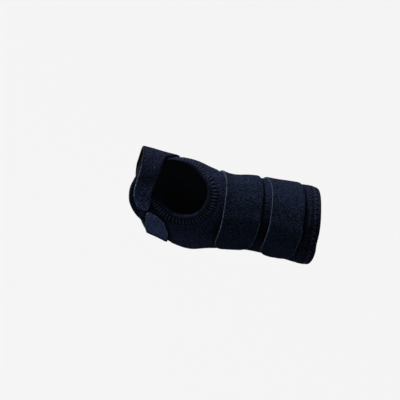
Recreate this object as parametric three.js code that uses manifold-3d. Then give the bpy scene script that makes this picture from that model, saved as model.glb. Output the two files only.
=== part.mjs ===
// A right-hand radial wrist splint: a padded fabric sheet wrapped once round hand, wrist and forearm, with
// one big opening for the thumb, two straps round wrist and forearm, and one over the back of the hand.
// Millimetres. +X runs up the arm to the elbow, +Z is the thumb side, -Y is the palm side, and the origin
// is the middle of the wrist. A "turn" is an angle round the arm in degrees: 0 at the thumb side, 90 at the
// palm, 180 at the little finger and 270 at the back of the hand.
import * as THREE from 'three';
import { mergeVertices } from 'three/addons/utils/BufferGeometryUtils.js';
import Module from 'manifold-3d';

// Lengths along the arm, from the middle of the wrist
const HAND_REACH = 100;
const ARM_REACH = 84;

// The hollow that the hand goes in, at the wrist
const WRIST_WIDTH = 66;
const WRIST_DEPTH = 44;

// Thicknesses of the laminates and of the hook patches
const BODY_WALL = 3;
const STRAP_WALL = 2;
const HOOK_WALL = 1;
const CLEARANCE = 0.3;

// The plain lap on the back, and where its edge lies
const LAP_WIDTH = 13;
const LAP_EDGE_TURN = 282;

// The thumb opening, and the band between it and the palm edge that goes through the web of the thumb
const THUMB_LENGTH = 48;
const THUMB_TURN = 48;
const THUMB_SPREAD = 90;
const WEB_BAND = 21;

// The arm straps: widths, where they lie, their corner radius, and where each is sewn on and ends
const WRIST_STRAP_WIDTH = 34;
const WRIST_STRAP_AT = 4;
const FOREARM_STRAP_WIDTH = 31;
const STRAP_SPACING = 8.5;
const STRAP_CORNER = 14;
const STRAP_ROOT_TURN = -115;
const WRIST_STRAP_END_TURN = 138;
const FOREARM_STRAP_END_TURN = 140;

// The strap over the back of the hand, and the turns where its leaf tip ends and its web tip starts
const HAND_STRAP_WIDTH = 22;
const LEAF_SHAPED_TO = 120;
const WEB_SHAPED_FROM = 430;

// Hook patches: how far they stay inside a strap's edges, their length under an arm or hand strap, how far
// before its patch an arm strap reaches full height, and the turn that the hand strap lies flat past its own
const HOOK_INSET = 3.5;
const ARM_HOOK_LENGTH = 20;
const HAND_HOOK_LENGTH = 10;
const BEFORE_HOOK = 1;
const PAST_HOOK_TURN = 2;

// Mesh fineness
const BODY_ROWS = 20;
const BODY_COLUMNS = 56;
const STRAP_STEP_TURN = 7.5;
const STRAP_ROWS = 4;
const OPENING_SIDES = 44;
const CUTTER_RINGS = 5;
const PATCH_COLUMNS = 5;
const PATCH_ROWS = 3;
const CORNER_STEPS = [0, 0.35, 0.62, 0.82, 0.95, 1];

const FABRIC = { color: 0x141b2b, roughness: 0.95, metalness: 0 };
const STRAP_FABRIC = { color: 0x192136, roughness: 0.92, metalness: 0 };
const HOOK_PLASTIC = { color: 0x0c0f16, roughness: 0.7, metalness: 0 };

// The hollow's sections. at is a share of the reach towards hand (-) or elbow (+), width and the shift to
// the thumb are shares of the wrist's width, depth is a share of its depth, square is the roundness power.
const HOLLOW = [
  { at: -1.04, width: 0.992, depth: 0.68, shift: 0.064, square: 2.5 },
  { at: -0.85, width: 1.038, depth: 0.75, shift: 0.019, square: 2.5 },
  { at: -0.65, width: 1.071, depth: 0.86, shift: -0.014, square: 2.4 },
  { at: -0.45, width: 1.161, depth: 0.98, shift: -0.05, square: 2.3 },
  { at: -0.25, width: 1.127, depth: 1.00, shift: -0.097, square: 2.3 },
  { at: -0.08, width: 1.009, depth: 0.98, shift: -0.08, square: 2.2 },
  { at: 0.14, width: 0.986, depth: 1.00, shift: -0.013, square: 2.2 },
  { at: 0.38, width: 0.974, depth: 1.05, shift: 0.013, square: 2.2 },
  { at: 0.66, width: 1.008, depth: 1.14, shift: 0.025, square: 2.1 },
  { at: 0.90, width: 1.055, depth: 1.22, shift: 0.027, square: 2.1 },
  { at: 1.07, width: 1.07, depth: 1.25, shift: 0.02, square: 2.1 },
];

// The body's two cut edges by turn. palm is a share of the hand's reach, cuff a share of the arm's reach.
const BODY_EDGES = [
  { turn: -110, palm: 0.90, cuff: 0.95 },
  { turn: -60, palm: 0.91, cuff: 0.94 },
  { turn: -20, palm: 0.925, cuff: 0.91 },
  { turn: 30, palm: 0.945, cuff: 0.90 },
  { turn: 75, palm: 0.995, cuff: 0.95 },
  { turn: 92, palm: 0.985, cuff: 0.97 },
  { turn: 106, palm: 0.95, cuff: 1.00 },
  { turn: 119, palm: 0.87, cuff: 1.02 },
  { turn: 132, palm: 0.735, cuff: 1.035 },
  { turn: 148, palm: 0.65, cuff: 1.05 },
  { turn: 170, palm: 0.60, cuff: 1.055 },
  { turn: 200, palm: 0.62, cuff: 1.04 },
  { turn: 230, palm: 0.74, cuff: 1.00 },
  { turn: 258, palm: 0.88, cuff: 0.96 },
  { turn: 290, palm: 0.91, cuff: 0.95 },
];

// The thumb opening's outline: each point's way from the opening's middle, as shares of half its length
// (towards the elbow) and half its spread (towards the palm).
const THUMB_OUTLINE = [
  { along: -0.96, round: 0.46 },
  { along: -0.62, round: 0.76 },
  { along: -0.16, round: 0.96 },
  { along: 0.26, round: 0.95 },
  { along: 0.66, round: 0.78 },
  { along: 0.92, round: 0.50 },
  { along: 1.00, round: 0.10 },
  { along: 0.90, round: -0.24 },
  { along: 0.62, round: -0.48 },
  { along: 0.30, round: -0.80 },
  { along: -0.10, round: -1.00 },
  { along: -0.55, round: -0.92 },
  { along: -0.88, round: -0.56 },
  { along: -1.00, round: -0.05 },
];

// How the two arm straps drift up the arm as they go round. drift is a share of the strap's width.
const WRIST_STRAP_ROUTE = [
  { turn: -120, drift: -0.17 },
  { turn: -60, drift: -0.155 },
  { turn: 0, drift: -0.09 },
  { turn: 40, drift: -0.05 },
  { turn: 66, drift: 0.005 },
  { turn: 90, drift: 0.055 },
  { turn: 120, drift: 0.095 },
  { turn: 170, drift: 0.20 },
];
const FOREARM_STRAP_ROUTE = [
  { turn: -120, drift: -0.12 },
  { turn: -60, drift: -0.15 },
  { turn: -30, drift: -0.14 },
  { turn: 0, drift: -0.095 },
  { turn: 36, drift: -0.05 },
  { turn: 62, drift: 0.015 },
  { turn: 90, drift: 0.075 },
  { turn: 120, drift: 0.11 },
  { turn: 170, drift: 0.10 },
];

// The hand strap from its leaf tip (little-finger side) round the back of the hand to its rounded tip in
// the web. middle is a share of the hand's reach, width a share of the strap's width.
const HAND_STRAP_ROUTE = [
  { turn: 103.5, middle: 0.745, width: 0.17 },
  { turn: 105, middle: 0.734, width: 0.42 },
  { turn: 107, middle: 0.722, width: 0.60 },
  { turn: 110, middle: 0.700, width: 0.775 },
  { turn: 116, middle: 0.680, width: 0.87 },
  { turn: 124, middle: 0.648, width: 0.97 },
  { turn: 134, middle: 0.623, width: 0.99 },
  { turn: 148, middle: 0.598, width: 0.94 },
  { turn: 180, middle: 0.590, width: 1.00 },
  { turn: 225, middle: 0.678, width: 1.11 },
  { turn: 270, middle: 0.745, width: 1.42 },
  { turn: 320, middle: 0.755, width: 1.70 },
  { turn: 345, middle: 0.800, width: 1.36 },
  { turn: 365, middle: 0.848, width: 0.98 },
  { turn: 400, middle: 0.872, width: 0.80 },
  { turn: 435, middle: 0.884, width: 0.73 },
  { turn: 446, middle: 0.872, width: 0.715 },
  { turn: 453, middle: 0.857, width: 0.65 },
  { turn: 460, middle: 0.842, width: 0.49 },
  { turn: 463.5, middle: 0.832, width: 0.22 },
];

// A smooth curve through a table's rows, read at one value of its key column
function readTable(rows, key, column, at) {
  const last = rows.length - 1;
  const slope = (i) => {
    const a = rows[Math.max(i - 1, 0)];
    const b = rows[Math.min(i + 1, last)];
    return (b[column] - a[column]) / (b[key] - a[key]);
  };
  let i = 0;
  while (i < last - 1 && at > rows[i + 1][key]) i += 1;
  const span = rows[i + 1][key] - rows[i][key];
  const t = THREE.MathUtils.clamp((at - rows[i][key]) / span, 0, 1);
  const rise = slope(i) * span;
  const fall = slope(i + 1) * span;
  return (2 * t ** 3 - 3 * t ** 2 + 1) * rows[i][column] + (t ** 3 - 2 * t ** 2 + t) * rise
    + (3 * t ** 2 - 2 * t ** 3) * rows[i + 1][column] + (t ** 3 - t ** 2) * fall;
}

// A point on the hollow's section at x along the arm and a turn round it
function sectionPoint(x, turn) {
  const at = x < 0 ? x / HAND_REACH : x / ARM_REACH;
  const read = (column) => readTable(HOLLOW, 'at', column, at);
  const c = Math.cos(THREE.MathUtils.degToRad(turn));
  const s = Math.sin(THREE.MathUtils.degToRad(turn));
  const power = read('square');
  const k = (Math.abs(c) ** power + Math.abs(s) ** power) ** (-1 / power);
  const z = read('shift') * WRIST_WIDTH + (read('width') * WRIST_WIDTH / 2) * c * k;
  const y = -(read('depth') * WRIST_DEPTH / 2) * s * k;
  return new THREE.Vector3(x, y, z);
}

// The same point lifted off the hollow, square to the section
const NEAR_TURN = 0.5;
function liftedPoint(x, turn, lift) {
  const ahead = sectionPoint(x, turn + NEAR_TURN);
  const behind = sectionPoint(x, turn - NEAR_TURN);
  const outward = new THREE.Vector3(0, ahead.z - behind.z, behind.y - ahead.y).normalize();
  return sectionPoint(x, turn).addScaledVector(outward, lift);
}

// Degrees of turn for each millimetre round the dressed wrist
const DRESSED_GIRTH = Math.PI * ((WRIST_WIDTH + WRIST_DEPTH) / 2 + 2 * BODY_WALL + STRAP_WALL);
const FULL_TURN = 360;
const TURN_PER_MM = FULL_TURN / DRESSED_GIRTH;

// The lap lifts the sheet over its own start, and a strap that crosses it comes down again after its edge.
// The sheet takes LAP_SLOPE round the arm to rise, and a strap STRAP_SLOPE to come down.
const LAP_LIFT = BODY_WALL + CLEARANCE;
const LAP_SLOPE = 28;
const STRAP_SLOPE = 10;
const lapStart = LAP_EDGE_TURN - LAP_WIDTH * TURN_PER_MM;
const lapTop = lapStart - BODY_WALL * TURN_PER_MM / 2;
const fallStart = LAP_EDGE_TURN + CLEARANCE * TURN_PER_MM;
const step = (turn, from, length) => THREE.MathUtils.smoothstep(turn, from, from + length * TURN_PER_MM);
const lapRise = (turn) => LAP_LIFT * step(turn, lapTop - LAP_SLOPE * TURN_PER_MM, LAP_SLOPE);
const lapFall = (turn) => LAP_LIFT * step(turn, fallStart, STRAP_SLOPE);

// A closed wall from a grid of inner and outer points: columns run round the arm and rows along it
function wallGeometry(columns, rows, pointAt) {
  const positions = [];
  for (const outer of [0, 1]) {
    for (let i = 0; i <= columns; i += 1) {
      for (let j = 0; j <= rows; j += 1) positions.push(...pointAt(i / columns, j / rows, outer).toArray());
    }
  }
  const layer = (columns + 1) * (rows + 1);
  const id = (outer, i, j) => outer * layer + i * (rows + 1) + j;
  const faces = [];
  const quad = (a, b, c, d) => faces.push(a, c, b, a, d, c);
  for (let i = 0; i < columns; i += 1) {
    for (let j = 0; j < rows; j += 1) {
      quad(id(1, i, j), id(1, i, j + 1), id(1, i + 1, j + 1), id(1, i + 1, j));
      quad(id(0, i, j), id(0, i + 1, j), id(0, i + 1, j + 1), id(0, i, j + 1));
    }
    quad(id(0, i, 0), id(1, i, 0), id(1, i + 1, 0), id(0, i + 1, 0));
    quad(id(1, i, rows), id(0, i, rows), id(0, i + 1, rows), id(1, i + 1, rows));
  }
  for (let j = 0; j < rows; j += 1) {
    quad(id(0, 0, j), id(0, 0, j + 1), id(1, 0, j + 1), id(1, 0, j));
    quad(id(0, columns, j + 1), id(0, columns, j), id(1, columns, j), id(1, columns, j + 1));
  }
  const geometry = new THREE.BufferGeometry();
  geometry.setAttribute('position', new THREE.Float32BufferAttribute(positions, 3));
  geometry.setIndex(faces);
  return geometry;
}

// The wrapped sheet, before the thumb opening is cut
function bodySheet() {
  const firstTurn = lapStart - FULL_TURN;
  return wallGeometry(BODY_COLUMNS, BODY_ROWS, (u, v, outer) => {
    const turn = THREE.MathUtils.lerp(firstTurn, LAP_EDGE_TURN, u);
    const palm = -HAND_REACH * readTable(BODY_EDGES, 'turn', 'palm', turn);
    const cuff = ARM_REACH * readTable(BODY_EDGES, 'turn', 'cuff', turn);
    return liftedPoint(THREE.MathUtils.lerp(palm, cuff, v), turn, lapRise(turn) + outer * BODY_WALL);
  });
}

const THUMB_AT = -(HAND_REACH - WEB_BAND - THUMB_LENGTH / 2);

// The cutter for the thumb opening: its outline carried square through the wall
function thumbCutter() {
  const outline = new THREE.CatmullRomCurve3(
    THUMB_OUTLINE.map((p) => new THREE.Vector3(
      THUMB_AT + p.along * THUMB_LENGTH / 2,
      THUMB_TURN + p.round * THUMB_SPREAD / 2,
      0,
    )),
    true,
  ).getSpacedPoints(OPENING_SIDES).slice(0, OPENING_SIDES);
  const rings = CUTTER_RINGS;
  const depths = [-BODY_WALL, 2 * BODY_WALL];
  const positions = [];
  for (const depth of depths) {
    positions.push(...liftedPoint(THUMB_AT, THUMB_TURN, depth).toArray());
    for (let r = 1; r <= rings; r += 1) {
      for (const p of outline) {
        const x = THREE.MathUtils.lerp(THUMB_AT, p.x, r / rings);
        const turn = THREE.MathUtils.lerp(THUMB_TURN, p.y, r / rings);
        positions.push(...liftedPoint(x, turn, depth).toArray());
      }
    }
  }
  const layer = 1 + rings * OPENING_SIDES;
  const id = (top, r, k) => top * layer + (r === 0 ? 0 : 1 + (r - 1) * OPENING_SIDES + (k % OPENING_SIDES));
  const faces = [];
  const face = (top, a, b, c) => (top ? faces.push(a, c, b) : faces.push(a, b, c));
  for (const top of [0, 1]) {
    for (let k = 0; k < OPENING_SIDES; k += 1) {
      face(top, id(top, 0, 0), id(top, 1, k + 1), id(top, 1, k));
      for (let r = 1; r < rings; r += 1) {
        face(top, id(top, r, k), id(top, r, k + 1), id(top, r + 1, k + 1));
        face(top, id(top, r, k), id(top, r + 1, k + 1), id(top, r + 1, k));
      }
    }
  }
  for (let k = 0; k < OPENING_SIDES; k += 1) {
    faces.push(id(0, rings, k), id(0, rings, k + 1), id(1, rings, k + 1));
    faces.push(id(0, rings, k), id(1, rings, k + 1), id(1, rings, k));
  }
  const geometry = new THREE.BufferGeometry();
  geometry.setAttribute('position', new THREE.Float32BufferAttribute(positions, 3));
  geometry.setIndex(faces);
  return geometry;
}

const wasm = await Module();
wasm.setup();

function solidOf(geometry) {
  const merged = mergeVertices(geometry, 1e-5);
  return new wasm.Manifold(new wasm.Mesh({
    numProp: 3,
    vertProperties: new Float32Array(merged.attributes.position.array),
    triVerts: new Uint32Array(merged.index.array),
  }));
}

function geometryOf(solid) {
  const mesh = solid.getMesh();
  const geometry = new THREE.BufferGeometry();
  geometry.setAttribute('position', new THREE.BufferAttribute(mesh.vertProperties, 3));
  geometry.setIndex(new THREE.BufferAttribute(mesh.triVerts, 1));
  return geometry;
}

// A hook patch lifts the strap's end that lies on it
const HOOK_LIFT = HOOK_WALL + CLEARANCE;
const FOREARM_STRAP_AT = WRIST_STRAP_AT + WRIST_STRAP_WIDTH / 2 + STRAP_SPACING + FOREARM_STRAP_WIDTH / 2;
const wristStrap = {
  width: WRIST_STRAP_WIDTH,
  at: WRIST_STRAP_AT,
  route: WRIST_STRAP_ROUTE,
  endTurn: WRIST_STRAP_END_TURN,
};
const forearmStrap = {
  width: FOREARM_STRAP_WIDTH,
  at: FOREARM_STRAP_AT,
  route: FOREARM_STRAP_ROUTE,
  endTurn: FOREARM_STRAP_END_TURN,
};
const straightEnd = (strap) => strap.endTurn - STRAP_CORNER * TURN_PER_MM;
const strapMiddle = (strap, turn) => strap.at + strap.width * readTable(strap.route, 'turn', 'drift', turn);

// An arm strap, sewn on over the lap and led round by the thumb side and the palm to its free end, whose
// corners are quarter circles
function armStrap(strap) {
  const corner = straightEnd(strap);
  const steps = Math.ceil((corner - STRAP_ROOT_TURN) / STRAP_STEP_TURN);
  const turns = [];
  for (let i = 0; i < steps; i += 1) turns.push(THREE.MathUtils.lerp(STRAP_ROOT_TURN, corner, i / steps));
  for (const share of CORNER_STEPS) turns.push(THREE.MathUtils.lerp(corner, strap.endTurn, share));
  const columns = turns.length - 1;
  const hookTurn = corner - (ARM_HOOK_LENGTH + STRAP_SLOPE) * TURN_PER_MM;
  return wallGeometry(columns, STRAP_ROWS, (u, v, outer) => {
    const turn = turns[Math.round(u * columns)];
    const pastCorner = Math.max(0, (turn - corner) / TURN_PER_MM);
    const rounding = STRAP_CORNER - Math.sqrt(Math.max(0, STRAP_CORNER ** 2 - pastCorner ** 2));
    const x = strapMiddle(strap, turn) + (v - 0.5) * (strap.width - 2 * rounding);
    const onHook = HOOK_LIFT * step(turn, hookTurn, STRAP_SLOPE - BEFORE_HOOK);
    const lift = BODY_WALL + CLEARANCE + LAP_LIFT - lapFall(turn + FULL_TURN) + onHook;
    return liftedPoint(x, turn, lift + outer * STRAP_WALL);
  });
}

const LEAF_TIP_TURN = HAND_STRAP_ROUTE[0].turn;
const WEB_TIP_TURN = HAND_STRAP_ROUTE.at(-1).turn;
const HAND_HOOK_TURN = (HOOK_INSET + HAND_HOOK_LENGTH) * TURN_PER_MM;
const handStrapMiddle = (turn) => -HAND_REACH * readTable(HAND_STRAP_ROUTE, 'turn', 'middle', turn);
const handStrapWidth = (turn) => HAND_STRAP_WIDTH * readTable(HAND_STRAP_ROUTE, 'turn', 'width', turn);

// The strap over the back of the hand, over the lap too, with a shaped tip at each end
function handStrap() {
  const rowTurns = HAND_STRAP_ROUTE.map((row) => row.turn);
  const leaf = rowTurns.filter((turn) => turn === LEAF_TIP_TURN || turn < LEAF_SHAPED_TO);
  const web = rowTurns.filter((turn) => turn === WEB_TIP_TURN || turn > WEB_SHAPED_FROM);
  const steps = Math.ceil((web[0] - leaf.at(-1)) / STRAP_STEP_TURN);
  const between = [];
  for (let i = 1; i < steps; i += 1) between.push(THREE.MathUtils.lerp(leaf.at(-1), web[0], i / steps));
  const turns = [...leaf, ...between, ...web];
  const columns = turns.length - 1;
  const webSlope = WEB_TIP_TURN - HAND_HOOK_TURN - PAST_HOOK_TURN - STRAP_SLOPE * TURN_PER_MM;
  return wallGeometry(columns, STRAP_ROWS, (u, v, outer) => {
    const turn = turns[Math.round(u * columns)];
    const offLeaf = step(turn, LEAF_TIP_TURN + HAND_HOOK_TURN + PAST_HOOK_TURN, STRAP_SLOPE);
    const onWeb = step(turn, webSlope, STRAP_SLOPE);
    const lift = BODY_WALL + CLEARANCE + lapRise(turn) - lapFall(turn) + HOOK_LIFT * (1 - offLeaf + onWeb);
    const x = handStrapMiddle(turn) + (v - 0.5) * handStrapWidth(turn);
    return liftedPoint(x, turn, lift + outer * STRAP_WALL);
  });
}

// A hook patch: a thin plate on the body under a strap's end, inside the strap's own edges
function hookPatch(fromTurn, toTurn, middle, width) {
  return wallGeometry(PATCH_COLUMNS, PATCH_ROWS, (u, v, outer) => {
    const turn = THREE.MathUtils.lerp(fromTurn, toTurn, u);
    const x = middle(turn) + (v - 0.5) * (width(turn) - 2 * HOOK_INSET);
    return liftedPoint(x, turn, BODY_WALL + CLEARANCE + outer * HOOK_WALL);
  });
}

function armHookPatch(strap) {
  const end = straightEnd(strap);
  const start = end - ARM_HOOK_LENGTH * TURN_PER_MM;
  return hookPatch(start, end, (turn) => strapMiddle(strap, turn), () => strap.width);
}

function handHookPatch(fromTurn) {
  return hookPatch(fromTurn, fromTurn + HAND_HOOK_LENGTH * TURN_PER_MM, handStrapMiddle, handStrapWidth);
}

const splint = new THREE.Group();

function addPiece(name, geometry, look) {
  geometry.computeVertexNormals();
  const mesh = new THREE.Mesh(geometry, new THREE.MeshStandardMaterial(look));
  mesh.name = name;
  splint.add(mesh);
}

const body = solidOf(bodySheet()).subtract(solidOf(thumbCutter()));
addPiece('splint_body', geometryOf(body), FABRIC);
addPiece('wrist_strap', armStrap(wristStrap), STRAP_FABRIC);
addPiece('forearm_strap', armStrap(forearmStrap), STRAP_FABRIC);
addPiece('hand_strap', handStrap(), STRAP_FABRIC);
addPiece('wrist_hook_patch', armHookPatch(wristStrap), HOOK_PLASTIC);
addPiece('forearm_hook_patch', armHookPatch(forearmStrap), HOOK_PLASTIC);
addPiece('palm_hook_patch', handHookPatch(LEAF_TIP_TURN + HOOK_INSET * TURN_PER_MM), HOOK_PLASTIC);
addPiece('web_hook_patch', handHookPatch(WEB_TIP_TURN - HAND_HOOK_TURN), HOOK_PLASTIC);

export default splint;
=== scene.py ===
import math
import bpy
from mathutils import Matrix, Vector, noise


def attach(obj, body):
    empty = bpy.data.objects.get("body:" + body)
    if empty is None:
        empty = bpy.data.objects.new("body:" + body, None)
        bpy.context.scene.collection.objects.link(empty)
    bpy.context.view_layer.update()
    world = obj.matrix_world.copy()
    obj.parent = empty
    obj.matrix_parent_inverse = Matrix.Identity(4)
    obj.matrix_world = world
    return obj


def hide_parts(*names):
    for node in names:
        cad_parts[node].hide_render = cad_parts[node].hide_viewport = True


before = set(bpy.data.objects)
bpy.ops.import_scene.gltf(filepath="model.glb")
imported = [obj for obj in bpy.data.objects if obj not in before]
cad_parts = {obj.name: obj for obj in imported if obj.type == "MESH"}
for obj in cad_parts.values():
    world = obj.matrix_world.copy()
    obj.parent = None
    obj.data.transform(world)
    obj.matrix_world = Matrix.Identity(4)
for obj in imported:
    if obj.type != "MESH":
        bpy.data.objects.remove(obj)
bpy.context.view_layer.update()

bpy.ops.object.select_all(action="DESELECT")


# The splint's body is one sheet of loop-pile laminate, about 3 mm thick, wrapped once round as a sleeve and
# closed by a plain lap on the back. Its cut edges are folded under and sewn down, and it has a large oval
# thumb opening. Lengths are millimetres, and turns round the sleeve are degrees.
MM = 0.001
HAND_REACH = 100
ARM_REACH = 84
WRIST_WIDTH = 66
WRIST_DEPTH = 44
BODY_WALL = 3
STRAP_WALL = 2
HOOK_WALL = 1
CLEARANCE = 0.3
LAP_WIDTH = 13
LAP_EDGE_TURN = 282

# The sleeve's hollow. at is a share of the reach towards the palm edge (-) or the cuff (+), width and shift
# are shares of its width at the wrist, depth of its depth there, and square is how square the section is.
HOLLOW = [
    {"at": -1.04, "width": 0.992, "depth": 0.68, "shift": 0.064, "square": 2.5},
    {"at": -0.85, "width": 1.038, "depth": 0.75, "shift": 0.019, "square": 2.5},
    {"at": -0.65, "width": 1.071, "depth": 0.86, "shift": -0.014, "square": 2.4},
    {"at": -0.45, "width": 1.161, "depth": 0.98, "shift": -0.05, "square": 2.3},
    {"at": -0.25, "width": 1.127, "depth": 1.00, "shift": -0.097, "square": 2.3},
    {"at": -0.08, "width": 1.009, "depth": 0.98, "shift": -0.08, "square": 2.2},
    {"at": 0.14, "width": 0.986, "depth": 1.00, "shift": -0.013, "square": 2.2},
    {"at": 0.38, "width": 0.974, "depth": 1.05, "shift": 0.013, "square": 2.2},
    {"at": 0.66, "width": 1.008, "depth": 1.14, "shift": 0.025, "square": 2.1},
    {"at": 0.90, "width": 1.055, "depth": 1.22, "shift": 0.027, "square": 2.1},
    {"at": 1.07, "width": 1.07, "depth": 1.25, "shift": 0.02, "square": 2.1},
]

# The sheet's two edges by turn round the sleeve, as shares of its two reaches
BODY_EDGES = [
    {"turn": -110, "palm": 0.90, "cuff": 0.95},
    {"turn": -60, "palm": 0.91, "cuff": 0.94},
    {"turn": -20, "palm": 0.925, "cuff": 0.91},
    {"turn": 30, "palm": 0.945, "cuff": 0.90},
    {"turn": 75, "palm": 0.995, "cuff": 0.95},
    {"turn": 92, "palm": 0.985, "cuff": 0.97},
    {"turn": 106, "palm": 0.95, "cuff": 1.00},
    {"turn": 119, "palm": 0.87, "cuff": 1.02},
    {"turn": 132, "palm": 0.735, "cuff": 1.035},
    {"turn": 148, "palm": 0.65, "cuff": 1.05},
    {"turn": 170, "palm": 0.60, "cuff": 1.055},
    {"turn": 200, "palm": 0.62, "cuff": 1.04},
    {"turn": 230, "palm": 0.74, "cuff": 1.00},
    {"turn": 258, "palm": 0.88, "cuff": 0.96},
    {"turn": 290, "palm": 0.91, "cuff": 0.95},
]


def read(rows, key, column, at):
    """One column of a table of rows, read smoothly between them"""
    last = len(rows) - 1

    def slope(i):
        a, b = rows[max(i - 1, 0)], rows[min(i + 1, last)]
        return (b[column] - a[column]) / (b[key] - a[key])

    i = 0
    while i < last - 1 and at > rows[i + 1][key]:
        i += 1
    span = rows[i + 1][key] - rows[i][key]
    t = min(max((at - rows[i][key]) / span, 0), 1)
    start, end = rows[i][column], rows[i + 1][column]
    curved = (t**3 - 2 * t**2 + t) * slope(i) * span + (t**3 - t**2) * slope(i + 1) * span
    return start + (3 * t**2 - 2 * t**3) * (end - start) + curved


sections = {}


def section(x):
    key = round(x, 2)
    if key not in sections:
        at = x / HAND_REACH if x < 0 else x / ARM_REACH
        sections[key] = [read(HOLLOW, "at", column, at) for column in ("width", "depth", "shift", "square")]
    return sections[key]


def hollow_point(x, turn):
    """A point on the hollow's wall, in millimetres. Turn 0 is the thumb side and 90 the palm side."""
    width, depth, shift, square = section(x)
    c, s = math.cos(math.radians(turn)), math.sin(math.radians(turn))
    k = (abs(c) ** square + abs(s) ** square) ** (-1 / square)
    z = shift * WRIST_WIDTH + width * WRIST_WIDTH / 2 * c * k
    y = -depth * WRIST_DEPTH / 2 * s * k
    return Vector((x, y, z))


def on_sleeve(x, turn, lift):
    """The point that stands lift millimetres off the hollow's face, in metres"""
    ahead, behind = hollow_point(x, turn + 0.5), hollow_point(x, turn - 0.5)
    outward = Vector((0, ahead.z - behind.z, behind.y - ahead.y)).normalized()
    return (hollow_point(x, turn) + outward * lift) * MM


def smooth(at, start, length):
    """From 0 at the start to 1 after the length, without a corner"""
    t = min(max((at - start) / length, 0), 1)
    return t * t * (3 - 2 * t)


TURN_PER_MM = 360 / (math.pi * ((WRIST_WIDTH + WRIST_DEPTH) / 2 + 2 * BODY_WALL + STRAP_WALL))
LAP_LIFT = BODY_WALL + CLEARANCE
LAP_SLOPE = 28
STRAP_SLOPE = 10
lap_start = LAP_EDGE_TURN - LAP_WIDTH * TURN_PER_MM
lap_top = lap_start - BODY_WALL * TURN_PER_MM / 2


def lap_rise(turn):
    return LAP_LIFT * smooth(turn, lap_top - LAP_SLOPE * TURN_PER_MM, LAP_SLOPE * TURN_PER_MM)


def lap_fall(turn):
    return LAP_LIFT * smooth(turn, LAP_EDGE_TURN + CLEARANCE * TURN_PER_MM, STRAP_SLOPE * TURN_PER_MM)


# The straps' courses round the sleeve. They press the body's pile down, and painted shade darkens the pile
# in the creases beside them, so the body needs them first.
WRIST_STRAP = {
    "name": "wrist_strap", "width": 34, "at": 4, "end": 138, "edge_tone": 0,
    "route": [
        {"turn": -120, "drift": -0.17}, {"turn": -60, "drift": -0.155}, {"turn": 0, "drift": -0.09},
        {"turn": 40, "drift": -0.05}, {"turn": 66, "drift": 0.005}, {"turn": 90, "drift": 0.055},
        {"turn": 120, "drift": 0.095}, {"turn": 170, "drift": 0.20},
    ],
}
FOREARM_STRAP = {
    "name": "forearm_strap", "width": 31, "at": 45, "end": 140, "edge_tone": -0.4,
    "route": [
        {"turn": -120, "drift": -0.12}, {"turn": -60, "drift": -0.15}, {"turn": -30, "drift": -0.14},
        {"turn": 0, "drift": -0.095}, {"turn": 36, "drift": -0.05}, {"turn": 62, "drift": 0.015},
        {"turn": 90, "drift": 0.075}, {"turn": 120, "drift": 0.11}, {"turn": 170, "drift": 0.10},
    ],
}
STRAP_CORNER = 14
STRAP_ROOT_TURN = -115
ARM_HOOK_LENGTH = 20
HOOK_LIFT = HOOK_WALL + CLEARANCE
HAND_STRAP_WIDTH = 22
HAND_HOOK_LENGTH = 10
HOOK_INSET = 3.5
HAND_STRAP_ROUTE = [
    {"turn": 103.5, "middle": 0.745, "width": 0.17},
    {"turn": 105, "middle": 0.734, "width": 0.42},
    {"turn": 107, "middle": 0.722, "width": 0.60},
    {"turn": 110, "middle": 0.700, "width": 0.775},
    {"turn": 116, "middle": 0.680, "width": 0.87},
    {"turn": 124, "middle": 0.648, "width": 0.97},
    {"turn": 134, "middle": 0.623, "width": 0.99},
    {"turn": 148, "middle": 0.598, "width": 0.94},
    {"turn": 180, "middle": 0.590, "width": 1.00},
    {"turn": 225, "middle": 0.678, "width": 1.11},
    {"turn": 270, "middle": 0.745, "width": 1.42},
    {"turn": 320, "middle": 0.755, "width": 1.70},
    {"turn": 345, "middle": 0.800, "width": 1.36},
    {"turn": 365, "middle": 0.848, "width": 0.98},
    {"turn": 400, "middle": 0.872, "width": 0.80},
    {"turn": 435, "middle": 0.884, "width": 0.73},
    {"turn": 446, "middle": 0.872, "width": 0.715},
    {"turn": 453, "middle": 0.857, "width": 0.65},
    {"turn": 460, "middle": 0.842, "width": 0.49},
    {"turn": 463.5, "middle": 0.832, "width": 0.22},
]
leaf_tip = HAND_STRAP_ROUTE[0]["turn"]
web_tip = HAND_STRAP_ROUTE[-1]["turn"]


def strap_middle(strap, turn):
    return strap["at"] + strap["width"] * read(strap["route"], "turn", "drift", turn)


def hand_strap_middle(turn):
    return -HAND_REACH * read(HAND_STRAP_ROUTE, "turn", "middle", turn)


def hand_strap_width(turn):
    return HAND_STRAP_WIDTH * read(HAND_STRAP_ROUTE, "turn", "width", turn)


def past_straps(x, turn):
    """Millimetres from a place on the body to the nearest strap, and less than nothing under one"""
    way = turn - 360 if turn > 200 else turn
    nearest = 100
    for strap in (WRIST_STRAP, FOREARM_STRAP):
        endways = max(STRAP_ROOT_TURN - way, way - strap["end"]) / TURN_PER_MM
        sideways = abs(x - strap_middle(strap, way)) - strap["width"] / 2
        nearest = min(nearest, max(endways, sideways))
    way = turn + 360 if turn < leaf_tip else turn
    endways = max(leaf_tip - way, way - web_tip) / TURN_PER_MM
    sideways = abs(x - hand_strap_middle(way)) - hand_strap_width(way) / 2
    return min(nearest, max(endways, sideways))


def set_down(name, data):
    """Puts a mesh or curve in the scene as the one selected object"""
    made = bpy.data.objects.new(name, data)
    bpy.context.collection.objects.link(made)
    bpy.ops.object.select_all(action="DESELECT")
    made.select_set(True)
    bpy.context.view_layer.objects.active = made
    return made


def with_all_points(change, **how):
    """Runs one mesh operator on the whole of the active object"""
    bpy.ops.object.mode_set(mode="EDIT")
    bpy.ops.mesh.select_all(action="SELECT")
    change(**how)
    bpy.ops.object.mode_set(mode="OBJECT")


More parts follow.
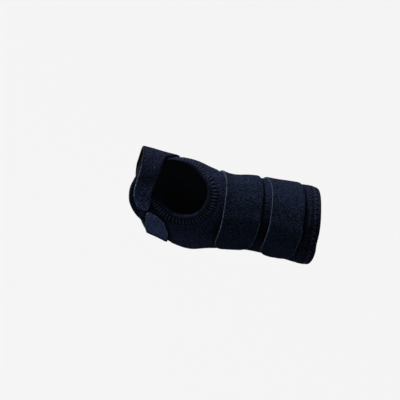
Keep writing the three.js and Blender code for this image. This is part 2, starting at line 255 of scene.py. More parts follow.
def lay_up(name, turns, rows, place, keep=None, tone=None, rim_stuff=0, pale=None):
    """A closed sheet on a grid: place(turn, row, side) gives a point, side 0 is the back and 1 the face.
    keep says which of the grid's cells are there, and tone how much lighter or darker the pile is painted,
    painted light and shade among it. The rim's stuff goes on over the face where pale says so."""
    columns, across = len(turns), len(rows)
    points = [place(turn, row, side) for side in (0, 1) for turn in turns for row in rows]
    layer = columns * across
    faces, stuffs = [], []

    def kept(i, j):
        inside = 0 <= i < columns - 1 and 0 <= j < across - 1
        return inside and (keep is None or keep(turns[i], turns[i + 1], rows[j], rows[j + 1]))

    for i in range(columns - 1):
        for j in range(across - 1):
            if not kept(i, j):
                continue
            a, b = i * across + j, (i + 1) * across + j
            faces.append((layer + a, layer + b, layer + b + 1, layer + a + 1))
            on_rim = pale and pale((turns[i] + turns[i + 1]) / 2, (rows[j] + rows[j + 1]) / 2)
            stuffs.append(rim_stuff if on_rim else 0)
            faces.append((a, a + 1, b + 1, b))
            stuffs.append(1)
            rims = [
                (a, b, i, j - 1), (b, b + 1, i + 1, j),
                (b + 1, a + 1, i, j + 1), (a + 1, a, i - 1, j),
            ]
            for p, q, beside_i, beside_j in rims:
                if not kept(beside_i, beside_j):
                    faces.append((p, q, layer + q, layer + p))
                    stuffs.append(rim_stuff)
    mesh = bpy.data.meshes.new(name)
    mesh.from_pydata(points, [], faces)
    mesh.polygons.foreach_set("material_index", stuffs)
    mesh.polygons.foreach_set("use_smooth", [True] * len(faces))
    if tone:
        tones = [0.0] * layer + [tone(turn, row) for turn in turns for row in rows]
        mesh.attributes.new("tone", "FLOAT", "POINT").data.foreach_set("value", tones)
    made = set_down(name, mesh)
    with_all_points(bpy.ops.mesh.delete_loose)
    return made


def set_inputs(node, values):
    """Sets a shader node's inputs by name"""
    for name, value in values.items():
        node.inputs[name].default_value = value


def new_stuff(name, roughness, specular, **more):
    """A material, with its shader's inputs set by name, spaces as underscores"""
    stuff = bpy.data.materials.new(name)
    stuff.use_nodes = True
    values = {"Roughness": roughness, "Specular IOR Level": specular}
    values.update({key.replace("_", " "): value for key, value in more.items()})
    set_inputs(stuff.node_tree.nodes["Principled BSDF"], values)
    return stuff


def texture(stuff, kind, **inputs):
    """A texture on the object's own coordinates; kind is Noise, Voronoi or Wave"""
    made = stuff.node_tree.nodes.new("ShaderNodeTex" + kind)
    set_inputs(made, inputs)
    where = stuff.node_tree.nodes.new("ShaderNodeTexCoord")
    stuff.node_tree.links.new(where.outputs["Object"], made.inputs["Vector"])
    return made


def clad(made, *stuffs):
    """Gives a piece its stuffs, for a sheet those of its face, its back and its rim"""
    for stuff in stuffs:
        made.data.materials.append(stuff)


def reckon(stuff, operation, *terms, clamp=False):
    """One step of arithmetic on numbers and other nodes' outputs"""
    made = stuff.node_tree.nodes.new("ShaderNodeMath")
    made.operation = operation
    made.use_clamp = clamp
    for term, socket in zip(terms, made.inputs):
        if isinstance(term, (int, float)):
            socket.default_value = term
        else:
            stuff.node_tree.links.new(term, socket)
    return made.outputs[0]


def ramp(stuff, source, low, high, start=0, end=1):
    """A colour from low to high as the source goes from start to end"""
    made = stuff.node_tree.nodes.new("ShaderNodeValToRGB")
    for element, position, colour in zip(made.color_ramp.elements, (start, end), (low, high)):
        element.position = position
        element.color = (*colour, 1)
    stuff.node_tree.links.new(source, made.inputs["Fac"])
    return made.outputs["Color"]


def mesh_tone(stuff):
    """How much lighter or darker the mesh paints the pile, painted light and shade among it"""
    tone = stuff.node_tree.nodes.new("ShaderNodeAttribute")
    tone.attribute_name = "tone"
    return tone.outputs["Fac"]


def set_colour(stuff, colour):
    stuff.node_tree.links.new(colour, stuff.node_tree.nodes["Principled BSDF"].inputs["Base Color"])


def set_toned_colour(stuff, colour):
    """Makes a colour the stuff's own, scaled by one and the mesh's tone"""
    toned = stuff.node_tree.nodes.new("ShaderNodeVectorMath")
    toned.operation = "SCALE"
    stuff.node_tree.links.new(colour, toned.inputs[0])
    stuff.node_tree.links.new(reckon(stuff, "ADD", mesh_tone(stuff), 1), toned.inputs["Scale"])
    set_colour(stuff, toned.outputs[0])


def set_bump(stuff, height, strength, distance):
    nodes, links = stuff.node_tree.nodes, stuff.node_tree.links
    bump = nodes.new("ShaderNodeBump")
    set_inputs(bump, {"Strength": strength, "Distance": distance})
    links.new(height, bump.inputs["Height"])
    links.new(bump.outputs["Normal"], nodes["Principled BSDF"].inputs["Normal"])


def pile_fabric(name, deep, light):
    """Brushed loop pile: fine pale loops over a dark ground, tufts that lie lighter and darker, and a faint
    sheen. The mesh's tone scales its colour: darker in the stitched bands and where shade is painted in,
    and paler and more even where it is painted paler, painted light included."""
    sheen = {"Sheen_Weight": 0.05, "Sheen_Roughness": 0.4, "Sheen_Tint": (0.20, 0.32, 0.65, 1)}
    fabric = new_stuff(name, 0.95, 0.12, **sheen)
    loops = texture(fabric, "Noise", Scale=1080, Detail=2, Roughness=0.65)
    tufts = texture(fabric, "Noise", Scale=170, Detail=3)
    tops = texture(fabric, "Voronoi", Scale=1300)
    lightness = reckon(fabric, "MULTIPLY_ADD", tufts.outputs["Fac"], 0.06, loops.outputs["Fac"])
    speckled = ramp(fabric, lightness, deep, light, 0.495, 0.635)
    even = fabric.node_tree.nodes.new("ShaderNodeMixRGB")
    mean = [dark + 0.32 * (pale - dark) for dark, pale in zip(deep, light)]
    even.inputs["Color2"].default_value = (*mean, 1)
    # The even colour's share grows with the tone, so painted light also evens out the pile
    paler_and_painted_light = reckon(fabric, "MULTIPLY", mesh_tone(fabric), 0.05, clamp=True)
    fabric.node_tree.links.new(paler_and_painted_light, even.inputs["Fac"])
    fabric.node_tree.links.new(speckled, even.inputs["Color1"])
    set_toned_colour(fabric, even.outputs["Color"])
    height = reckon(fabric, "MULTIPLY_ADD", tops.outputs["Distance"], -0.7, loops.outputs["Fac"])
    set_bump(fabric, height, 1, 0.0012)
    return fabric


body_pile = pile_fabric("body_pile", (0.0006, 0.0014, 0.0048), (0.0192, 0.0288, 0.0675))

# The back of the laminate is a thin plain-knit jersey, darker and smoother than the face.
lining = new_stuff("lining_jersey", 0.85, 0.2)
patchy = texture(lining, "Noise", Scale=120)
set_colour(lining, ramp(lining, patchy.outputs["Fac"], (0.0035, 0.0045, 0.008), (0.012, 0.015, 0.023)))
wales = texture(lining, "Wave", Scale=420, Distortion=1.5)
wales.bands_direction = "X"
set_bump(lining, wales.outputs["Fac"], 0.5, 0.0003)

# The folded hem: how full it stands, the zigzag stitch that holds it down, where the fold's raw edge lies
# under the face, how far the grid's fine rows reach, and the rounding of the fold
HEM_FULL = 0.55
STITCH_AT = 6.9
STITCH_WIDTH = 5.8
STITCH_PITCH = 4.3
STITCH_SINK = 0.45
FOLD_EDGE = 11.5
HEM_DEEP = 12
RIM = 1.5


def in_stitches(from_edge):
    inner, outer = STITCH_AT - STITCH_WIDTH / 2, STITCH_AT + STITCH_WIDTH / 2
    return smooth(from_edge, inner - 1.2, 1) * (1 - smooth(from_edge, outer + 0.2, 1))


def off_zigzag(from_edge, along):
    """From 0 on the zigzag's thread to 1 well beside it"""
    wave = abs((along / STITCH_PITCH) % 1 * 2 - 1) * 2 - 1
    return 1 - math.exp(-(((from_edge - STITCH_AT - wave * STITCH_WIDTH / 2) / 1.0) ** 2))


def hem_relief(from_edge, off_thread):
    """How far the face stands up near an edge: the fold, less the furrows that the stitches press in"""
    fold = HEM_FULL * (1 - smooth(from_edge, FOLD_EDGE - 1.5, 2))
    return fold - in_stitches(from_edge) * STITCH_SINK * (0.35 + 0.65 * off_thread)


def body_edges(turn):
    palm = -HAND_REACH * read(BODY_EDGES, "turn", "palm", turn)
    cuff = ARM_REACH * read(BODY_EDGES, "turn", "cuff", turn)
    return palm, cuff


def cuff_curl(to_cuff):
    """How far the cuff's hem curls inwards"""
    return 1.8 * max(0, 1 - max(0, to_cuff) / 7) ** 2


# The outline of the thumb opening, as shares of half its length along the sleeve and half its spread round
THUMB_LENGTH = 48
THUMB_TURN = 48
THUMB_SPREAD = 90
WEB_BAND = 21
THUMB_AT = -(HAND_REACH - WEB_BAND - THUMB_LENGTH / 2)
THUMB_OUTLINE = [
    (-0.96, 0.46), (-0.62, 0.76), (-0.16, 0.96), (0.26, 0.95), (0.66, 0.78), (0.92, 0.50), (1.00, 0.10),
    (0.90, -0.24), (0.62, -0.48), (0.30, -0.80), (-0.10, -1.00), (-0.55, -0.92), (-0.88, -0.56),
    (-1.00, -0.05),
]


def closed_curve(points, count):
    """Evenly spaced points on a smooth closed curve through the given ones"""
    dense = []
    total = len(points)
    for i in range(total):
        before, start, end, after = (points[(i + k) % total] for k in (-1, 0, 1, 2))
        for step in range(24):
            t = step / 24
            dense.append(tuple(
                0.5 * (2 * start[n] + (end[n] - before[n]) * t
                       + (2 * before[n] - 5 * start[n] + 4 * end[n] - after[n]) * t**2
                       + (3 * start[n] - before[n] - 3 * end[n] + after[n]) * t**3)
                for n in (0, 1)
            ))
    places = [on_sleeve(x, turn, BODY_WALL) for x, turn in dense]
    lengths = [0]
    for i in range(len(dense)):
        lengths.append(lengths[-1] + (places[(i + 1) % len(dense)] - places[i]).length / MM)
    even, i = [], 0
    for step in range(count):
        goal = lengths[-1] * step / count
        while lengths[i + 1] < goal:
            i += 1
        t = (goal - lengths[i]) / (lengths[i + 1] - lengths[i])
        a, b = dense[i], dense[(i + 1) % len(dense)]
        even.append((a[0] + (b[0] - a[0]) * t, a[1] + (b[1] - a[1]) * t))
    return even, lengths[-1]


hem_count = 300
thumb_points = [
    (THUMB_AT + along * THUMB_LENGTH / 2, THUMB_TURN + round_it * THUMB_SPREAD / 2)
    for along, round_it in THUMB_OUTLINE
]
thumb_edge, thumb_round = closed_curve(thumb_points, hem_count)


# The sleeve's rounding beside the thumb opening
SIDE_RADIUS = 25


def from_thumb(index, away):
    """The place on the sleeve that lies away millimetres outside the thumb opening's edge"""
    x, turn = thumb_edge[index]
    (xa, ta), (xb, tb) = thumb_edge[index - 3], thumb_edge[(index + 3) % hem_count]
    on_skin = (hollow_point(x, turn + 0.5) - hollow_point(x, turn - 0.5)).length
    per_turn = on_skin * (1 + BODY_WALL / SIDE_RADIUS)
    way = Vector((-(tb - ta) * per_turn, xb - xa)).normalized()
    return x + way.x * away, turn + way.y * away / per_turn


HEM_COVERS = 5.0
thumb_hidden = [from_thumb(i, HEM_COVERS) for i in range(0, hem_count, 6)]


def under_hem(x, turn):
    """Whether the thumb opening's hem covers this place, so that the sheet needs no face there"""
    inside = False
    for i, (xa, ta) in enumerate(thumb_hidden):
        xb, tb = thumb_hidden[i - 1]
        if (ta > turn) != (tb > turn) and x < xa + (turn - ta) / (tb - ta) * (xb - xa):
            inside = not inside
    return inside


def strap_sides(turn):
    """The four edges of the two cross straps, led on over the part of the round where none lies"""
    beyond = smooth(turn, 170, 70)
    sides = []
    for strap in (WRIST_STRAP, FOREARM_STRAP):
        middle = (1 - beyond) * strap_middle(strap, turn) + beyond * strap_middle(strap, turn - 360)
        sides += [middle - strap["width"] / 2, middle + strap["width"] / 2]
    return sides


def along_body(turn, row):
    """x of a grid row. The whole numbers are the palm edge, its hem's depth, the straps' four edges, the
    cuff hem's depth and the cuff, so that the grid's lines run beside the straps."""
    palm, cuff = body_edges(turn)
    bounds = [palm, palm + HEM_DEEP, *strap_sides(turn), cuff - HEM_DEEP, cuff]
    span = min(int(row), len(bounds) - 2)
    return bounds[span] + (bounds[span + 1] - bounds[span]) * (row - span)


def body_keeps(turn, next_turn, row, next_row):
    middle = (turn + next_turn) / 2
    return not under_hem(along_body(middle, (row + next_row) / 2), middle)


def from_edges(turn, row):
    """A grid place's x, and how far it is from the palm edge or the cuff and from the sheet's ends"""
    palm, cuff = body_edges(turn)
    x = along_body(turn, row)
    before, after = body_edges(turn - 1), body_edges(turn + 1)
    slopes = [(after[n] - before[n]) / 2 * TURN_PER_MM for n in (0, 1)]
    to_palm = (x - palm) / math.sqrt(1 + slopes[0] ** 2)
    to_cuff = (cuff - x) / math.sqrt(1 + slopes[1] ** 2)
    to_ends = min(LAP_EDGE_TURN - turn, turn - first_turn) / TURN_PER_MM
    return x, min(to_palm, to_cuff), to_ends


def painted_crease_shade(x, turn):
    """How much painted shade darkens the pile in the crease beside a strap, where the strap's shadow falls:
    on the cuff's side all along, on the other side only where the strap turns under"""
    way = turn - 360 if turn > 200 else turn
    under = smooth(way, 62, 30) * (1 - smooth(way, 100, 16))
    shade = 0
    for strap in (WRIST_STRAP, FOREARM_STRAP):
        if STRAP_ROOT_TURN < way < strap["end"]:
            past = x - strap_middle(strap, way)
            gap = max(0, abs(past) - strap["width"] / 2)
            shade = max(shade, (1 if past > 0 else under) * math.exp(-gap / (1.7 + 4 * under)))
    way = turn + 360 if turn < leaf_tip else turn
    if leaf_tip < way < web_tip:
        past = x - hand_strap_middle(way)
        gap = max(0, abs(past) - hand_strap_width(way) / 2)
        in_web = smooth(way, 400, 30)
        deepest = 0.8 + 0.2 * in_web if past > 0 else 0.4
        shade = max(shade, deepest * math.exp(-gap / (2.2 + 3.5 * in_web)))
    return min(1, 1.3 * shade)


def pile_tone(x, turn):
    """The pile is painted paler at the palm end, most of all by the thumb opening, and a little by the
    cuff. Low down at the palm end and between the straps on the thumb side the paler colour is painted
    light, and in the creases beside the straps painted shade darkens it."""
    palm_end = 1 - smooth(x, -16, 12)
    by_thumb = 1 - smooth(abs(turn - 10), 50, 30)
    # low is painted light thrown up from below, and between is painted light in the gap between the straps
    low = smooth(turn, 104, 18) * (1 - smooth(turn, 160, 50))
    between = smooth(x, 18, 6) * (1 - smooth(x, 30, 8)) * (1 - smooth(turn, 60, 20))
    by_cuff = smooth(x, 62, 6) * (1 - 0.6 * smooth(turn, 30, 50))
    paler = palm_end * (0.7 + 0.4 * by_thumb + 0.8 * low) + 0.8 * between + 0.45 * by_cuff
    return (1 + paler) * (1 - 0.95 * painted_crease_shade(x, turn)) - 1


def body_tone(turn, row):
    x, from_edge, _ = from_edges(turn, row)
    # pile_tone brings the painted light and the painted crease shade, and the stitched bands are darker on
    # top of it
    stitched = in_stitches(from_edge) * (0.3 + 0.4 * off_zigzag(from_edge, turn / TURN_PER_MM))
    return (1 + pile_tone(x, turn)) * (1 - stitched) - 1


thumb_line = [thumb_edge[i] for i in range(0, hem_count, 5)]
WELL_PAST = 20


def past_thumb(x, turn):
    """Millimetres from a place on the body to the edge of the thumb opening, if it is anywhere near"""
    if not -95 < x < -15 or not -20 < turn < 115:
        return WELL_PAST
    return min(math.hypot(x - a, (turn - t) / TURN_PER_MM) for a, t in thumb_line)


# How far the loose cloth swells beside the straps, and how deep its faint folds are
SWELL = 0.9
DRAPE = 0.7


def body_place(turn, row, side):
    """A place on the sheet's back or face, with its rounded edges, hems, furrows, swell and faint folds"""
    x, from_edge, to_ends = from_edges(turn, row)
    edge = min(from_edge, to_ends)
    tuck = RIM * (1 - math.sqrt(max(0, 1 - max(0, 1 - edge / RIM) ** 2)))
    base = lap_rise(turn) - cuff_curl(body_edges(turn)[1] - x)
    if side == 0:
        return on_sleeve(x, turn, base + tuck)
    free = smooth(past_straps(x, turn), 0.3, 6) * smooth(turn, LAP_EDGE_TURN - 360, 8)
    relief = hem_relief(from_edge, off_zigzag(from_edge, turn / TURN_PER_MM))
    to_thumb = past_thumb(x, turn)
    swell = SWELL * smooth(edge, 4, 10) * smooth(to_thumb, 9, 8)
    drape = DRAPE * noise.noise(Vector((x / 22, turn / 30, 3))) * smooth(min(edge, to_thumb - 4), 8, 10)
    return on_sleeve(x, turn, base + BODY_WALL - tuck + free * (relief + swell + drape))


first_turn = lap_start - 360
COLUMNS = 330
around = [first_turn + (LAP_EDGE_TURN - first_turn) * i / COLUMNS for i in range(COLUMNS + 1)]
hem_rows = [0, 0.018, 0.06, 0.12] + [0.12 + 0.88 * i / 16 for i in range(1, 16)]
by_the_palm = [i / 46 for i in range(45)] + [0.975, 0.986, 0.994]
under_strap = [0, 0.012, 0.05, 0.15, 0.3, 0.45, 0.6, 0.75, 0.88, 0.96, 0.99]
between_straps = [0, 0.04, 0.09, 0.16, 0.26, 0.38, 0.50, 0.62, 0.74, 0.84, 0.91, 0.96]
by_the_cuff = [0, 0.05, 0.12, 0.22, 0.35, 0.5, 0.7, 0.88]
spans = (hem_rows, by_the_palm, under_strap, between_straps, under_strap, by_the_cuff, [0])
lengthways = [span + share for span, shares in enumerate(spans) for share in shares]
lengthways += [7 - share for share in reversed(hem_rows)]
splint_body = lay_up("splint_body_sheet", around, lengthways, body_place, body_keeps, body_tone)
clad(splint_body, body_pile, lining)
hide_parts("splint_body")
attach(splint_body, "root")


# The thumb opening's hem: the body's own edge folded under all the way round the oval and held by close
# strokes of thread. It is a full round rim, and the fold's raw edge is a soft step outside the stitches.
hem_faces, hem_points, hem_tones = [], [], []
# Its section, as how far outside the opening's edge and how high: over the face, round the rim, and back
face_ways = [0.45 * i for i in range(3, 27)]
hem_section = [(12.3, BODY_WALL - 0.35)]
hem_section += [(way, BODY_WALL) for way in reversed(face_ways)]
for angle in range(90, -91, -20):
    hem_section.append((
        RIM * (1 - math.cos(math.radians(angle))) * 0.9,
        BODY_WALL / 2 + math.sin(math.radians(angle)) * (BODY_WALL / 2 + 0.1),
    ))
hem_section += [(2.5, -0.12), (5.0, -0.12), (8.0, -0.10), (9.0, 0.6), (11.0, 1.6)]
THUMB_STROKE_PITCH = 2.35
thumb_strokes = round(thumb_round / THUMB_STROKE_PITCH)
for k in range(hem_count):
    off_thread = 1 - abs(k / hem_count * thumb_strokes % 1 * 2 - 1)
    for n, (away, lift) in enumerate(hem_section):
        x, turn = from_thumb(k, away)
        if 1 <= n <= len(face_ways):
            lift += hem_relief(away, off_thread) * smooth(past_straps(x, turn), 0, 3)
        elif len(face_ways) < n <= len(face_ways) + 4:
            lift += HEM_FULL * (1 - (n - len(face_ways) - 1) / 4)
        hem_points.append(on_sleeve(x, turn, lift))
        # The hem's tone: darker in the stitched band, and on_rim is painted shade on the rim, strongest
        # towards the thumb side, where a thumb in the opening would shade it; pile_tone adds its painted
        # light and shade
        stitched = in_stitches(away) * (0.15 + 0.3 * smooth(turn, 20, 50) + 0.45 * off_thread)
        on_rim = (1 - smooth(away, 0.6, 1.6)) * (0.88 - 0.7 * smooth(turn, 74, 12))
        hem_tones.append((1 + pile_tone(x, turn)) * (1 - stitched) * (1 - on_rim) - 1)
ring = len(hem_section)
for k in range(hem_count):
    for n in range(ring):
        a, b = k * ring, (k + 1) % hem_count * ring
        m = (n + 1) % ring
        hem_faces.append((a + n, b + n, b + m, a + m))
hem_mesh = bpy.data.meshes.new("thumb_opening_hem")
hem_mesh.from_pydata(hem_points, [], hem_faces)
hem_mesh.polygons.foreach_set("use_smooth", [True] * len(hem_faces))
hem_mesh.attributes.new("tone", "FLOAT", "POINT").data.foreach_set("value", hem_tones)
thumb_hem = set_down("thumb_opening_hem", hem_mesh)
with_all_points(bpy.ops.mesh.normals_make_consistent, inside=False)
clad(thumb_hem, body_pile)
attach(thumb_hem, "root")


# Stitching: one heavy polyester thread, a shade lighter than the pile, sewn over each folded hem. It is a
# zigzag on the palm edge and the cuff, and strokes side by side round the thumb opening. Each stroke dives
# into the pile at its ends.
thread = new_stuff("stitch_thread", 0.6, 0.3)
ply = texture(thread, "Wave", Scale=900, Distortion=2)
ply.bands_direction = "DIAGONAL"
set_colour(thread, ramp(thread, ply.outputs["Fac"], (0.009, 0.014, 0.032), (0.034, 0.049, 0.098)))
THREAD_RADIUS = 0.65


def sew(name, runs):
    """A thread along each run of points, as one mesh"""
    curve = bpy.data.curves.new(name, "CURVE")
    curve.dimensions = "3D"
    curve.bevel_depth = THREAD_RADIUS * MM
    curve.bevel_resolution = 1
    curve.use_fill_caps = True
    for run in runs:
        spline = curve.splines.new("POLY")
        spline.points.add(len(run) - 1)
        for point, place in zip(spline.points, run):
            point.co = (*place, 1)
    set_down(name, curve)
    bpy.ops.object.convert(target="MESH")
    bpy.ops.object.shade_smooth()
    stitched = bpy.context.object
    clad(stitched, thread)
    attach(stitched, "root")
    return stitched


def stroke(place, along, end_along, away, end_away, sunk):
    """One stroke of a stitch, bowed up over the pile and pulled into it by as much as sunk"""
    run = []
    for step in range(5):
        t = step / 4
        bow = BODY_WALL + HEM_FULL + 0.4 * math.sin(math.pi * t) - sunk
        run.append(place(along + (end_along - along) * t, away + (end_away - away) * t, bow))
    return run


def uneven(number, seed):
    """A sewing machine's unevenness, up to about a third of a millimetre"""
    return 0.6 * noise.noise(Vector((number * 0.83, seed, 4.7)))


inner_stitch, outer_stitch = STITCH_AT - STITCH_WIDTH / 2, STITCH_AT + STITCH_WIDTH / 2


def zigzag(place, length):
    """A zigzag's strokes on an edge of this length; place takes along, from the edge, and lift"""
    step = STITCH_PITCH / 2
    runs = []
    for k in range(round(length / step)):
        ends = (inner_stitch, outer_stitch) if k % 2 else (outer_stitch, inner_stitch)
        start, end = ends[0] + 1.5 * uneven(k, 1), ends[1] + 1.5 * uneven(k, 2)
        runs.append(stroke(place, k * step, (k + 1) * step, start, end, 0.93 + 0.4 * uneven(k, 6)))
    return runs


def side_by_side(place, length, count):
    """Strokes square to an edge, a little uneven in length and slant"""
    runs = []
    for k in range(count):
        start = length * k / count
        inner, outer = inner_stitch + 0.4 + 1.5 * uneven(k, 5), outer_stitch - 0.4 + 2 * uneven(k, 9)
        leans = (start - 0.3 + uneven(k, 3), start + 0.3 + uneven(k, 7))
        runs.append(stroke(place, *leans, inner, outer, 0.72 + 0.4 * uneven(k, 6)))
    return runs


def thumb_place(along, away, lift):
    share = along / thumb_round * hem_count % hem_count
    index = int(share)
    (xa, ta), (xb, tb) = from_thumb(index, away), from_thumb((index + 1) % hem_count, away)
    x, turn = xa + (xb - xa) * (share - index), ta + (tb - ta) * (share - index)
    return on_sleeve(x, turn, lift)


def edge_place(which):
    """Gives the places on the hem of the palm edge (0) or the cuff (1)"""
    inwards = (1, -1)[which]

    def place(along, away, lift):
        turn = along * TURN_PER_MM
        edge = body_edges(turn)[which]
        slope = (body_edges(turn + 1)[which] - body_edges(turn - 1)[which]) / (2 / TURN_PER_MM)
        x = edge + inwards * away * math.sqrt(1 + slope**2)
        return on_sleeve(x, turn, lift + lap_rise(turn) - (cuff_curl(edge - x) if which else 0))
    return place


SEAM_STOPS = 4


def along_edge(which):
    """The zigzag on one of the two hems, which stops a little short of the sheet's ends"""
    first = math.ceil((first_turn / TURN_PER_MM + SEAM_STOPS) / STITCH_PITCH) * STITCH_PITCH
    last = LAP_EDGE_TURN / TURN_PER_MM - SEAM_STOPS
    place = edge_place(which)
    return zigzag(lambda along, away, lift: place(along + first, away, lift), last - first)


thumb_stitches = sew("thumb_opening_stitches", side_by_side(thumb_place, thumb_round, thumb_strokes))
palm_stitches = sew("palm_edge_stitches", along_edge(0))
cuff_stitches = sew("cuff_stitches", along_edge(1))


# The wrist strap and the forearm strap are flat bands of the same kind of laminate, cut clean, so the foam
# core shows as a light line along each edge. Each is sewn on over the lap, runs by the thumb side and the
# palm side, and ends in two round corners that a hook patch holds down.
strap_pile = pile_fabric("strap_pile", (0.0009, 0.0023, 0.0070), (0.0222, 0.0380, 0.0900))
cut_edge = new_stuff("cut_edge_foam", 0.9, 0.15)
cells = texture(cut_edge, "Noise", Scale=700, Detail=4)
cut_colours = ((0.009, 0.015, 0.025), (0.068, 0.100, 0.142))
set_toned_colour(cut_edge, ramp(cut_edge, cells.outputs["Fac"], *cut_colours, 0.42, 0.58))
set_bump(cut_edge, cells.outputs["Fac"], 0.4, 0.0002)


def strap_lift(strap, turn):
    corner = strap["end"] - STRAP_CORNER * TURN_PER_MM
    hook_turn = corner - (ARM_HOOK_LENGTH + STRAP_SLOPE) * TURN_PER_MM
    on_hook = HOOK_LIFT * smooth(turn, hook_turn, (STRAP_SLOPE - 1) * TURN_PER_MM)
    return BODY_WALL + CLEARANCE + LAP_LIFT - lap_fall(turn + 360) + on_hook


def arm_strap(strap, seed):
    corner = strap["end"] - STRAP_CORNER * TURN_PER_MM
    turns = [STRAP_ROOT_TURN + (corner - STRAP_ROOT_TURN) * i / 150 for i in range(150)]
    turns += [corner + (strap["end"] - corner) * math.sin(math.radians(90 * i / 16)) for i in range(17)]
    half = strap["width"] / 2
    rows = [0, 0.006, 0.016, 0.03] + [0.03 + 0.94 * i / 42 for i in range(1, 42)] + [0.97, 0.984, 0.994, 1]

    def across_at(turn, row):
        """How far off the strap's middle a grid place is, and how far inside its edge"""
        past = min(max(0, (turn - corner) / TURN_PER_MM), STRAP_CORNER)
        rounding = STRAP_CORNER - math.sqrt(STRAP_CORNER**2 - past**2)
        across = (row - 0.5) * 2 * (half - rounding)
        edge = half - rounding - abs(across)
        if past and abs(across) > half - STRAP_CORNER:
            edge = min(edge, STRAP_CORNER - math.hypot(past, abs(across) - half + STRAP_CORNER))
        return across, max(0, edge)

    def pale(turn, row):
        """The foam shows on the palm edge's side, and low down on the cuff's side and round the end"""
        across, edge = across_at(turn, row)
        to_end = (strap["end"] - turn) / TURN_PER_MM
        return to_end < 0.6 or (edge < 0.3 if across < 0 else edge < 0.6 and turn > 72)

    def tone(turn, row):
        across, edge = across_at(turn, row)
        return strap["edge_tone"] + 1.8 * smooth(turn, 40, 70) if edge < 0.7 else 0

    def place(turn, row, side):
        across, edge = across_at(turn, row)
        lift = strap_lift(strap, turn)
        wave = 0.35 * noise.noise(Vector((across / 15, turn / 18, seed)))
        edge_noise = noise.noise(Vector((turn / 30, seed, 1.5 if across > 0 else 7)))
        curl = 0.25 * math.exp(-edge / 3) * (0.5 + edge_noise)
        lift += max(0, wave + curl) if side == 0 else wave + curl
        if side == 1:
            lift += STRAP_WALL - 0.35 * math.exp(-edge / 0.35)
        else:
            lift += 0.1 * math.exp(-edge / 0.35)
        return on_sleeve(strap_middle(strap, turn) + across, turn, lift)

    made = lay_up(strap["name"] + "_band", turns, rows, place, tone=tone, rim_stuff=2, pale=pale)
    clad(made, strap_pile, lining, cut_edge)
    bpy.ops.object.shade_smooth_by_angle(angle=math.radians(50))
    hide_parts(strap["name"])
    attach(made, "root")
    return made


def dashes(name, lines, lift_at, step=3.4, dash=2.5):
    """Straight lock stitches along lines on the sleeve, each line two places as (x, turn)"""
    runs = []
    for (xa, ta), (xb, tb) in lines:
        length = math.hypot(xb - xa, (tb - ta) / TURN_PER_MM)
        count = max(1, round(length / step))
        for k in range(count):
            a, b = k / count, (k + dash / step) / count
            run = []
            for n in range(4):
                t = a + (b - a) * n / 3
                turn = ta + (tb - ta) * t
                sunk = -0.35 + 0.35 * math.sin(math.pi * n / 3)
                run.append(on_sleeve(xa + (xb - xa) * t, turn, lift_at(turn) + sunk))
            runs.append(run)
    return sew(name, runs)


# Each strap's sewn end is held by a box of stitches with a cross in it
SEAM_INSET = 4
BOX_LENGTH = 12
for number, strap in enumerate((WRIST_STRAP, FOREARM_STRAP)):
    band = arm_strap(strap, 11 + 5 * number)
    low = STRAP_ROOT_TURN + SEAM_INSET * TURN_PER_MM
    high = low + BOX_LENGTH * TURN_PER_MM
    middle = strap_middle(strap, low)
    reach = strap["width"] / 2 - SEAM_INSET
    box = [
        ((middle - reach, low), (middle + reach, low)), ((middle + reach, low), (middle + reach, high)),
        ((middle + reach, high), (middle - reach, high)), ((middle - reach, high), (middle - reach, low)),
        ((middle - reach, low), (middle + reach, high)), ((middle + reach, low), (middle - reach, high)),
    ]
    sewn = dashes(strap["name"] + "_root_stitches", box, lambda turn: strap_lift(strap, turn) + STRAP_WALL)


# The hand strap crosses the back at the palm end, over the lap. One end runs between the thumb opening and
# the palm edge to a rounded tip, the other comes round the far side to a leaf-shaped tip, and they meet on
# the palm side. It is the same clean-cut laminate, painted lighter and greyer at its ends, and at the web
# end's tip that lighter colour is painted light.
hand_strap_pile = pile_fabric("hand_strap_pile", (0.0009, 0.0018, 0.0060), (0.0272, 0.0385, 0.0880))
hand_hook = (HOOK_INSET + HAND_HOOK_LENGTH) * TURN_PER_MM


def hand_strap_lift(turn):
    slope = STRAP_SLOPE * TURN_PER_MM
    off_leaf = smooth(turn, leaf_tip + hand_hook + 2, slope)
    on_web = smooth(turn, web_tip - hand_hook - 2 - slope, slope)
    return BODY_WALL + CLEARANCE + lap_rise(turn) - lap_fall(turn) + HOOK_LIFT * (1 - off_leaf + on_web)


def hand_strap_place(turn, row, side):
    middle, width = hand_strap_middle(turn), hand_strap_width(turn)
    across = (row - 0.5) * width
    edge = min(width / 2 - abs(across), (turn - leaf_tip) / TURN_PER_MM, (web_tip - turn) / TURN_PER_MM)
    wave = 0.3 * noise.noise(Vector((across / 12, turn / 16, 21)))
    lift = hand_strap_lift(turn) + (max(0, wave) if side == 0 else wave)
    if side == 1:
        lift += STRAP_WALL - 0.45 * math.exp(-edge / 0.5)
    return on_sleeve(middle + across, turn, lift)


def hand_strap_tone(turn, row):
    """Paler at the leaf tip, and towards the very tip of the web end, where the paler colour is painted
    light on the tip
    """
    edge = hand_strap_width(turn) * (0.5 - abs(row - 0.5))
    if edge < 0.7:
        on_leaf, by_web = 1 - smooth(turn, 120, 20), smooth(turn, 385, 30)
        return 3.2 * on_leaf + 0.8 * by_web + 2.4 * smooth(turn, 418, 25) - 0.8
    # The rise towards the web end's tip is painted light
    return 5.6 * (1 - smooth(turn, 128, 30)) + 1.7 * smooth(turn, 415, 26) + 2.6 * smooth(turn, 444, 18)


def hand_strap_pale(turn, row):
    """The foam shows along the web end's outer side and all round the leaf tip"""
    width = hand_strap_width(turn)
    edge = width * (0.5 - abs(row - 0.5))
    return edge < 0.6 and (row < 0.5 and turn > 400 or turn < 128)


